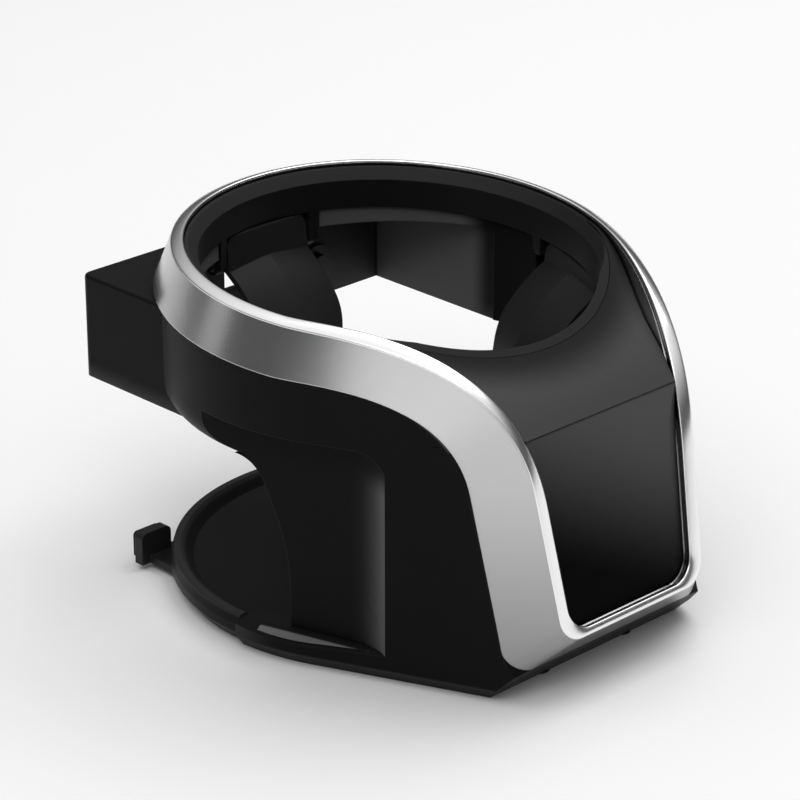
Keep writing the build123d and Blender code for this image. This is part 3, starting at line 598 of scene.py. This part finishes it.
def lip_section(inner, ridge, along, front, lift):
    """The lip's outline at one place: a rounded crown between two hidden feet."""
    front = (front - along * front.dot(along)).normalized()
    raised = inner + front * lift
    width = ridge - raised
    crown = along.cross(width).normalized()
    under = along.cross(ridge - inner).normalized() * LIP_SINK
    arch = []
    for number in range(LIP_STEPS + 1):
        turn = math.pi * number / LIP_STEPS
        bulge = crown * LIP_CROWN * math.sin(turn) ** CROWN_POWER
        arch.append(raised + width * (0.5 - 0.5 * math.cos(turn)) + bulge)
    inset = (ridge - inner) * LIP_INSET_SHARE
    return [inner + inset - under, *arch, ridge - inset - under]


def mirrored(spots):
    return [Vector((-spot.x, spot.y, spot.z)) for spot in spots]


def lip_sections():
    """Outlines of the right half and their mirror images, once round the loop."""
    inner, ridge = lip_rail(0), lip_rail(1)
    upward = Vector((0, -math.sin(RING_TILT), math.cos(RING_TILT)))
    forward = Vector((0, -math.cos(PANEL_LEAN), math.sin(PANEL_LEAN)))
    half = []
    last = len(inner) - 1
    for number, (turned, lift) in enumerate(lip_stretch()):
        along = (inner[min(number + 1, last)] - inner[max(number - 1, 0)]).normalized()
        if number in (0, last):
            along = Vector((1 if number == 0 else -1, 0, 0))
        front = upward.lerp(forward, turned)
        half.append(lip_section(inner[number], ridge[number], along, front, lift))
    return half + [mirrored(section) for section in reversed(half[1:-1])]


def trim_lip():
    """The closed lip: its outlines joined in a loop."""
    sections = lip_sections()
    wide = len(sections[0])
    spots = [tuple(spot * MM) for section in sections for spot in section]
    faces = []
    for number in range(len(sections)):
        here, there = number * wide, (number + 1) % len(sections) * wide
        for corner in range(wide):
            beside = (corner + 1) % wide
            faces.append((here + corner, there + corner, there + beside, here + beside))
    mesh = bpy.data.meshes.new("trim_lip")
    mesh.from_pydata(spots, [], faces)
    dress(mesh, bright_lip())
    lip = placed("trim_lip", mesh)
    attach(lip, "holder")


# Stage

def floor():
    """A pale floor, wide enough to fill the picture."""
    mesh = bpy.data.meshes.new("floor")
    corners = [(-1, -1), (1, -1), (1, 1), (-1, 1)]
    mesh.from_pydata([(x * FLOOR_HALF, y * FLOOR_HALF, 0) for x, y in corners], [], [(0, 1, 2, 3)])
    finish = Finish("floor_white", Base_Color=FLOOR_WHITE, Roughness=0.7, Specular_IOR_Level=0.1)
    mesh.materials.append(finish.material)
    plane = placed("floor", mesh)


def softbox(name, spot, width, height, watts):
    """A rectangular lamp that faces the part."""
    light = bpy.data.lights.new(name, "AREA")
    light.shape = "RECTANGLE"
    light.size = width
    light.size_y = height
    light.energy = watts
    lamp = placed(name, light)
    lamp.location = spot
    lamp.rotation_euler = (LAMP_AIM - Vector(spot)).to_track_quat("-Z", "Y").to_euler()


def studio():
    """Surroundings that are bright overhead and dim towards the horizon."""
    world = bpy.data.worlds.new("studio")
    world.use_nodes = True
    sky = Tree(world.node_tree)
    rise = sky.axes(sky.node("ShaderNodeTexCoord", output="Generated"))[2]
    tone = sky.tint(rise.step(*SKY_RISE), SKY_LOW, SKY_HIGH)
    sky.fill(sky.nodes["Background"].inputs["Color"], tone)
    bpy.context.scene.world = world


def camera():
    """A long lens, aimed at the middle of the part."""
    lens = bpy.data.cameras.new("camera")
    lens.lens = LENS
    lens.sensor_width = SENSOR
    lens.clip_start = NEAREST
    viewer = placed("camera", lens)
    turn = math.radians(AZIMUTH)
    rise = math.radians(ELEVATION)
    back = Vector((math.sin(turn) * math.cos(rise), -math.cos(turn) * math.cos(rise), math.sin(rise)))
    viewer.location = TARGET + back * DISTANCE
    viewer.rotation_euler = (-back).to_track_quat("-Z", "Y").to_euler()
    bpy.context.scene.camera = viewer


dress_solids()
wind_springs()
trim_lip()
floor()
for lamp_values in LAMPS:
    softbox(*lamp_values)
studio()
camera()
bpy.context.scene.view_settings.view_transform = "Standard"
